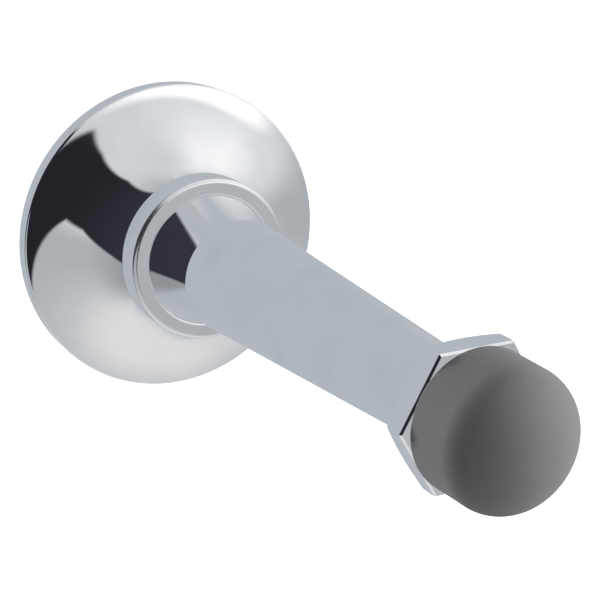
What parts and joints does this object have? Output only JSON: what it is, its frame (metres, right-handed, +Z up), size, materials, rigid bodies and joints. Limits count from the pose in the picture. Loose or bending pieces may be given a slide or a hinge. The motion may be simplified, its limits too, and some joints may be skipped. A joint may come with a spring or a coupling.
{
  "type": "rigid projecting door stop",
  "caption": "Rigid door stop for a wall or skirting board: flared round rose, tapered post, hexagonal collar and domed rubber bumper, with hanger bolt and wall plug.",
  "frame": {"origin": "centre of the rose's back on the wall's face, on the axis of the fixing hole", "axes": "+Y into the wall along the stop's axis, so the post stands out along -Y; +Z up the wall"},
  "size_m": [0.05, 0.125, 0.05],
  "materials": {
    "plated_rose": "bright chrome plate on a zinc casting",
    "plated_post": "bright chrome plate on turned brass",
    "plated_collar": "bright chrome plate on turned hexagon bar",
    "grey_rubber": "moulded, matt",
    "zinc_steel": "bright zinc plate",
    "plug_nylon": "moulded nylon, matt"
  },
  "bodies": {
    "fixing": {"hanger_bolt": "zinc_steel", "wall_plug": "plug_nylon"},
    "rose": {"rose": "plated_rose"},
    "post": {"post": "plated_post"},
    "bumper": {"bumper": "grey_rubber"},
    "collar": {"hex_collar": "plated_collar", "tip_screw": "zinc_steel", "retaining_washer": "zinc_steel"}
  },
  "joints": [
    {"name": "rose_draw", "type": "slide", "parent": "fixing", "child": "rose", "axis": [0, -1, 0], "range_m": [0, 0.01]},
    {"name": "post_turn", "type": "hinge", "parent": "rose", "child": "post", "pos_m": [0, 0, 0], "axis": [0, -1, 0], "range_deg": [0, 3600]},
    {"name": "bumper_draw", "type": "slide", "parent": "post", "child": "bumper", "axis": [0, -1, 0], "range_m": [0, 0.0074]},
    {"name": "collar_turn", "type": "hinge", "parent": "bumper", "child": "collar", "pos_m": [0, -0.0877, 0], "axis": [0, -1, 0], "range_deg": [0, 3330]}
  ],
  "couplings": [
    {"joint": "post_turn", "follows": "rose_draw", "rad_per_m": 6283.1},
    {"joint": "collar_turn", "follows": "bumper_draw", "rad_per_m": 7853.9}
  ]
}
